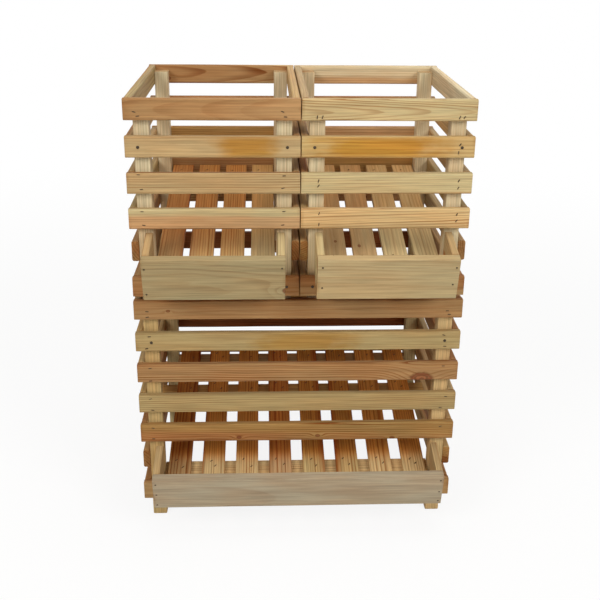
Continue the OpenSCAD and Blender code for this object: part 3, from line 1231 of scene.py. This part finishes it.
def build_boards(wood_material, steel_material):
    """A piece of boards for each CAD node of wood, and each crate's fasteners."""
    slots = {part["node"]: part["material_slot"] for part in frame["record"]["subparts"]}
    boards = {}
    for node in frame["nodes"]:
        kind = kind_of(node)
        if kind is not None:
            boards[node] = [Board(node, index, box, kind)
                            for index, box in enumerate(solids(node, kind.lie))]
    everyone = [board for group in boards.values() for board in group]
    meshes = {}
    crowns = {crate: [] for crate in CRATES}
    pairs = {}
    for board in everyone:
        marks = marks_of(board)
        mesh = board.build()
        if marks:
            pairs[board.key] = (mesh, cutter_of(board, marks))
            crowns[board.crate].append(fastener_mesh(board, marks))
        else:
            meshes[board.key] = mesh
    meshes.update(zip(pairs, cut_all(pairs.values())))
    for node, group in boards.items():
        for board in group:
            dress_board(meshes[board.key], board, look_of(board, slots[node]))
        piece = join_objects(f"{node}_wood", [meshes[board.key] for board in group],
                             wood_material)
        smooth(piece)
        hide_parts(node)
        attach(piece, frame["nodes"][node]["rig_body"])
    for crate in CRATES:
        screws = f"{crate}_screws"
        low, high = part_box(f"{crate}_front_rail")
        middle = (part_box(f"{crate}_back_slats")[0][Y] + low[Y]) / 2
        pieces = (
            join_objects(f"{crate}_fasteners", crowns[crate], steel_material),
            join_objects(f"{screws}_steel", screw_meshes(screws, middle), steel_material),
        )
        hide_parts(screws)
        for piece in pieces:
            smooth(piece)
            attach(piece, frame["nodes"][screws]["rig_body"])


# The studio

FLOOR_SIZE = 60
FLOOR_TONE = (244, 243, 240)
FLOOR_SPOTS = (240, 239, 236)
SPOT_CELLS = (3, 2)
# Share of plain white in what the camera sees of the floor, and how far from the
# object's middle it is near and far, in metres. The rest keeps the shadow.
WHITE_NEAR = 0.88
WHITE_FAR = 1.0
NEAR, FAR = 0.7, 3.0


def seen_white(g):
    """1 for the rays that show the background: the camera's own, and those that it
    sees in gloss or through glass."""
    path = g.node("ShaderNodeLightPath")
    seen = path.outputs["Is Camera Ray"]
    for ray in ("Is Glossy Ray", "Is Transmission Ray"):
        seen = g.math("MAXIMUM", seen, path.outputs[ray])
    return seen


def make_floor():
    mesh = bpy.data.meshes.new("studio_floor")
    s = FLOOR_SIZE
    mesh.from_pydata([(-s, -s, 0), (s, -s, 0), (s, s, 0), (-s, s, 0)], [], [(0, 1, 2, 3)])
    g = Graph(bpy.data.materials.new("studio_floor"))
    place = g.node("ShaderNodeTexCoord").outputs["Object"]
    color = g.mix(g.noise(place, *SPOT_CELLS), rgb(*FLOOR_TONE), rgb(*FLOOR_SPOTS))
    matte = g.node("ShaderNodeBsdfDiffuse")
    g.put(matte.inputs["Color"], color)
    white = g.node("ShaderNodeEmission")
    share = g.step(g.length(place), NEAR, FAR, WHITE_NEAR, WHITE_FAR)
    blend = g.node("ShaderNodeMixShader")
    g.put(blend.inputs[0], g.times(seen_white(g), share))
    g.put(blend.inputs[1], matte.outputs[0])
    g.put(blend.inputs[2], white.outputs[0])
    output = g.node("ShaderNodeOutputMaterial")
    g.put(output.inputs["Surface"], blend.outputs[0])
    new_object("studio_floor", mesh, g.owner)


# The light of the sky on the object. What the camera sees of the sky is white.
SKY_LIGHT = 0.22
SKY_WHITE = 1.0


def make_world():
    world = bpy.data.worlds.new("studio")
    bpy.context.scene.world = world
    g = Graph(world)
    background = g.node("ShaderNodeBackground")
    g.put(background.inputs["Color"], (1, 1, 1, 1))
    strength = g.step(seen_white(g), 0.0, 1.0, SKY_LIGHT, SKY_WHITE)
    g.put(background.inputs["Strength"], strength)
    output = g.node("ShaderNodeOutputWorld")
    g.put(output.inputs["Surface"], background.outputs[0])


# Each lamp's place and width in metres, and its power in watts
LAMPS = {
    "key": ((-2.1, -2.3, 2.4), 1.8, 62),
    "fill": ((2.1, -2.3, 2.4), 1.8, 58),
    "top": ((0.1, -0.3, 3.2), 1.6, 30),
    "back": ((0.4, 3.2, 0.9), 2.4, 32),
}
LAMP_TARGET = Vector((0, 0, 0.45))


def make_lamps():
    for name, (place, width, power) in LAMPS.items():
        data = bpy.data.lights.new(name, "AREA")
        data.shape = "DISK"
        data.size = width
        data.energy = power
        lamp = bpy.data.objects.new(name, data)
        lamp.location = place
        aim = LAMP_TARGET - Vector(place)
        lamp.rotation_euler = aim.to_track_quat("-Z", "Y").to_euler()
        bpy.context.scene.collection.objects.link(lamp)


make_camera()
make_floor()
make_world()
make_lamps()
build_boards(wood(), steel())

bpy.context.scene.view_settings.view_transform = "Standard"
